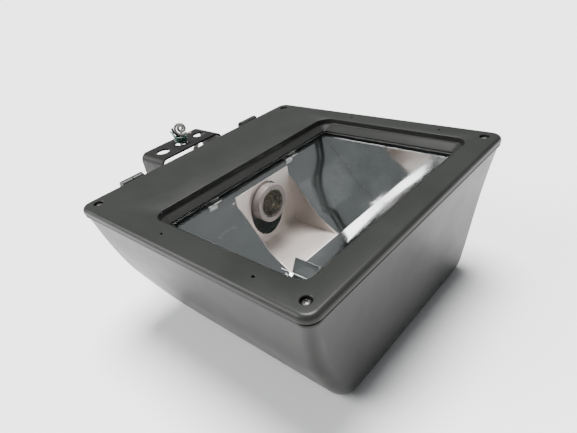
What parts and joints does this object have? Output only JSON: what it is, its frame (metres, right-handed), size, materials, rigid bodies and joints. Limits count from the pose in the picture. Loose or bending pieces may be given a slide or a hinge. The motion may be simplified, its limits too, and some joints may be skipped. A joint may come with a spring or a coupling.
{
  "type": "area floodlight",
  "caption": "Large yoke-mounted area floodlight: deep cast housing, hinged glass door, trough reflector, mogul lampholder and control gear inside.",
  "frame": {"origin": "on the flat back face, straight behind the centre of the door", "axes": "+Z out of the glass, +X from the yoke side to the lamp side, +Y along the door's hinge"},
  "size_m": [0.4777, 0.414, 0.2235],
  "materials": {
    "bronze_powder_coat": "satin dark bronze-black powder coat on cast aluminium",
    "black_paint": "satin black paint on flat steel",
    "polished_aluminium": "specular reflector sheet",
    "zinc_plated_steel": "zinc plated",
    "stainless_steel": "turned stainless",
    "grey_silicone": "matt moulded",
    "porcelain": "glazed",
    "nickel_shell": "nickel plated",
    "clear_glass": "tempered float glass",
    "varnished_laminations": "varnished stack",
    "coil_wrap": "varnished paper and tape",
    "bare_aluminium": "drawn can",
    "potting_black": "moulded case",
    "badge_grey": "plain blank badge",
    "black_nylon": "moulded nylon",
    "cord_black": "matt cord jacket",
    "lead_white": "wire insulation",
    "lead_black": "wire insulation",
    "lead_green": "wire insulation",
    "lead_red": "wire insulation"
  },
  "bodies": {
    "housing": {"housing": "bronze_powder_coat", "reflector_trough": "polished_aluminium", "reflector_end_1": "polished_aluminium", "reflector_end_2": "polished_aluminium", "socket_plate": "polished_aluminium", "reflector_kicker": "polished_aluminium", "gear_tray": "zinc_plated_steel", "socket_bracket": "zinc_plated_steel", "capacitor_strap": "zinc_plated_steel", "pivot_bolt_1": "zinc_plated_steel", "pivot_bolt_2": "zinc_plated_steel", "tray_screw_1": "zinc_plated_steel", "tray_screw_2": "zinc_plated_steel", "tray_screw_3": "zinc_plated_steel", "tray_screw_4": "zinc_plated_steel", "reflector_screw_1": "zinc_plated_steel", "reflector_screw_2": "zinc_plated_steel", "reflector_screw_3": "zinc_plated_steel", "reflector_screw_4": "zinc_plated_steel", "lampholder_screw_1": "zinc_plated_steel", "lampholder_screw_2": "zinc_plated_steel", "hinge_pin_1": "stainless_steel", "hinge_pin_2": "stainless_steel", "door_gasket": "grey_silicone", "pivot_washer_1": "grey_silicone", "pivot_washer_2": "grey_silicone", "lampholder_body": "porcelain", "lampholder_shell": "nickel_shell", "ballast_core": "varnished_laminations", "ballast_coil": "coil_wrap", "capacitor_can": "bare_aluminium", "ignitor_case": "potting_black", "strain_relief": "black_nylon", "supply_cord": "cord_black", "socket_lead": "lead_white", "capacitor_lead": "lead_red"},
    "door": {"door_frame": "bronze_powder_coat", "door_glass": "clear_glass", "glass_gasket": "grey_silicone", "blank_badge": "badge_grey", "glass_clip_1": "zinc_plated_steel", "glass_clip_2": "zinc_plated_steel", "glass_clip_3": "zinc_plated_steel", "glass_clip_4": "zinc_plated_steel", "clip_screw_1": "zinc_plated_steel", "clip_screw_2": "zinc_plated_steel", "clip_screw_3": "zinc_plated_steel", "clip_screw_4": "zinc_plated_steel"},
    "yoke": {"yoke": "black_paint", "white_lead": "lead_white", "black_lead": "lead_black", "green_lead": "lead_green"},
    "door_screw_1": {"door_screw_1": "stainless_steel"},
    "door_screw_2": {"door_screw_2": "stainless_steel"},
    "door_screw_3": {"door_screw_3": "stainless_steel"},
    "door_screw_4": {"door_screw_4": "stainless_steel"},
    "centre_contact": {"centre_contact": "nickel_shell"}
  },
  "joints": [
    {"name": "door_hinge", "type": "hinge", "parent": "housing", "child": "door", "pos_m": [-0.205, 0, 0.184], "axis": [0, -1, 0], "range_deg": [0, 90]},
    {"name": "yoke_tilt", "type": "hinge", "parent": "housing", "child": "yoke", "pos_m": [-0.2407, 0, 0.105], "axis": [0, -1, 0], "range_deg": [0, 90], "deforming": ["supply_cord"]},
    {"name": "door_screw_1_back_out", "type": "slide", "parent": "door", "child": "door_screw_1", "axis": [0, 0, 1], "range_m": [0, 0.006]},
    {"name": "door_screw_2_back_out", "type": "slide", "parent": "door", "child": "door_screw_2", "axis": [0, 0, 1], "range_m": [0, 0.006]},
    {"name": "door_screw_3_back_out", "type": "slide", "parent": "door", "child": "door_screw_3", "axis": [0, 0, 1], "range_m": [0, 0.006]},
    {"name": "door_screw_4_back_out", "type": "slide", "parent": "door", "child": "door_screw_4", "axis": [0, 0, 1], "range_m": [0, 0.006]},
    {"name": "contact_press", "type": "slide", "parent": "housing", "child": "centre_contact", "axis": [-1, 0, 0], "range_m": [0, 0.002], "stiffness_N_per_m": 600, "springref_m": -0.002}
  ]
}
